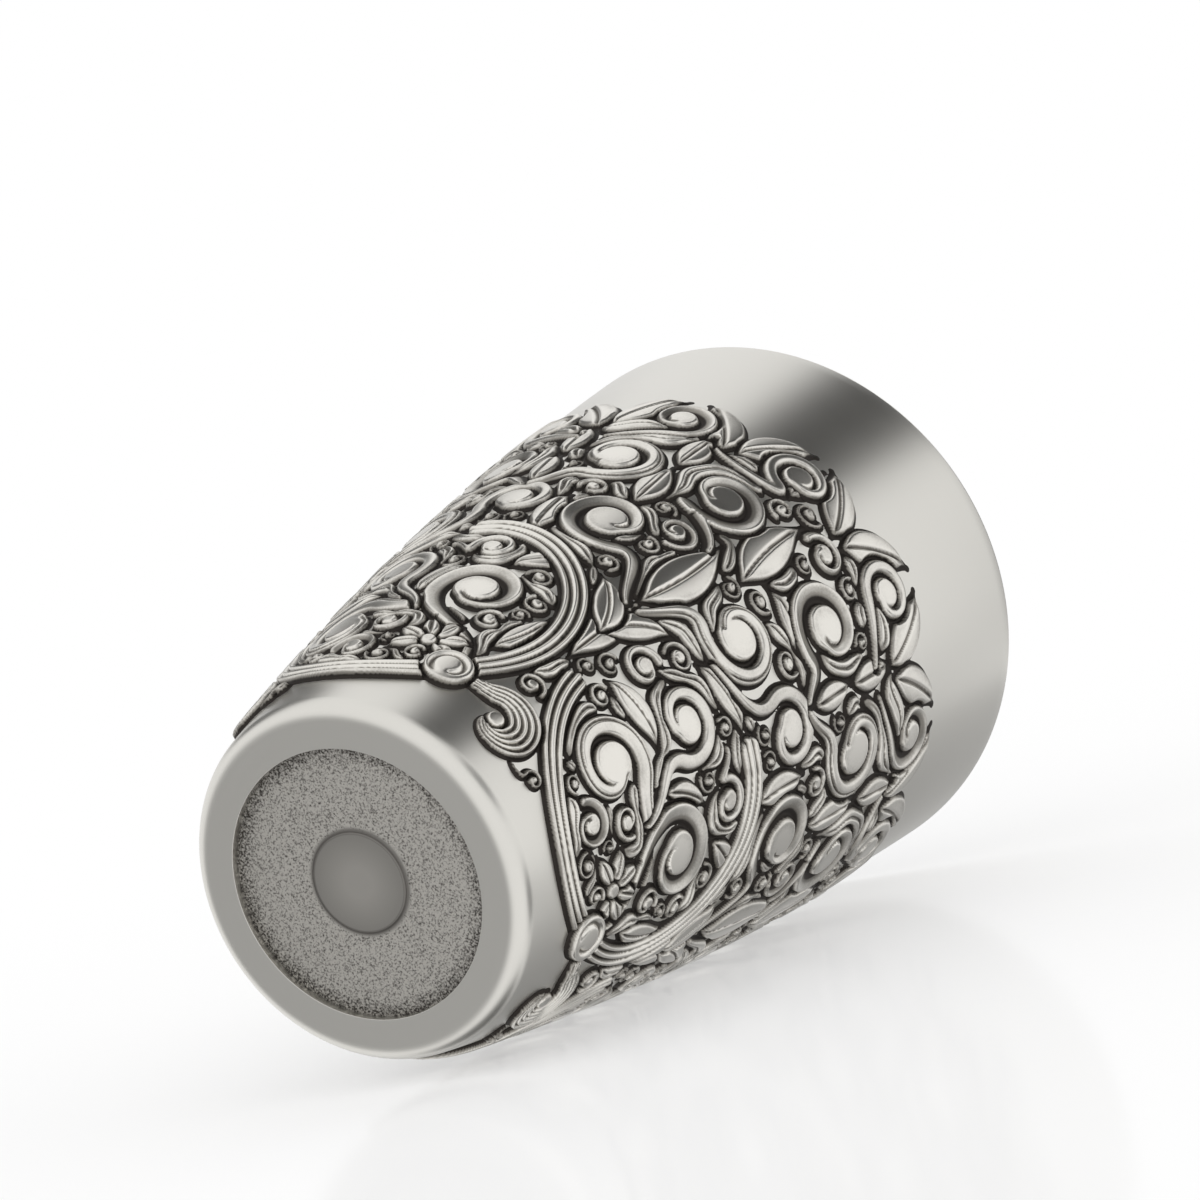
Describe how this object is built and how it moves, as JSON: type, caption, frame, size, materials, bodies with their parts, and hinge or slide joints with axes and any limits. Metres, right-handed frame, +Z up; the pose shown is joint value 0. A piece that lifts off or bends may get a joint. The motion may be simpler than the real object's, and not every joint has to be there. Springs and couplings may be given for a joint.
{
  "type": "tumbler",
  "caption": "Bowed conical pewter tumbler with a rounded foot, a sunk granular base and blackened scroll and leaf relief soldered round its side.",
  "frame": {"origin": "centre of the foot on the surface the tumbler stands on", "axes": "+Z up along the cup's axis from the foot to the lip; the medallions of the relief are centred at 45 degrees between the X and Y axes"},
  "size_m": [0.0808, 0.0808, 0.12],
  "materials": {
    "satin_pewter": "pewter, spun and brushed to a soft satin",
    "granular_pewter": "pewter, blasted to a coarse grain with dark pits and a smooth pad in its middle",
    "pewter_solder": "soft solder, wiped smooth",
    "antiqued_pewter": "cast pewter, blackened in the hollows and buffed bright on the ridges"
  },
  "bodies": {
    "root": {"cup_body": "satin_pewter", "base_plate": "granular_pewter", "solder_fillet": "pewter_solder", "relief_panel_1": "antiqued_pewter", "relief_panel_2": "antiqued_pewter", "relief_panel_3": "antiqued_pewter", "relief_panel_4": "antiqued_pewter", "fan_spray_1": "antiqued_pewter", "fan_spray_2": "antiqued_pewter", "fan_spray_3": "antiqued_pewter", "fan_spray_4": "antiqued_pewter", "rosette_1": "antiqued_pewter", "rosette_2": "antiqued_pewter", "rosette_3": "antiqued_pewter", "rosette_4": "antiqued_pewter"}
  },
  "joints": []
}
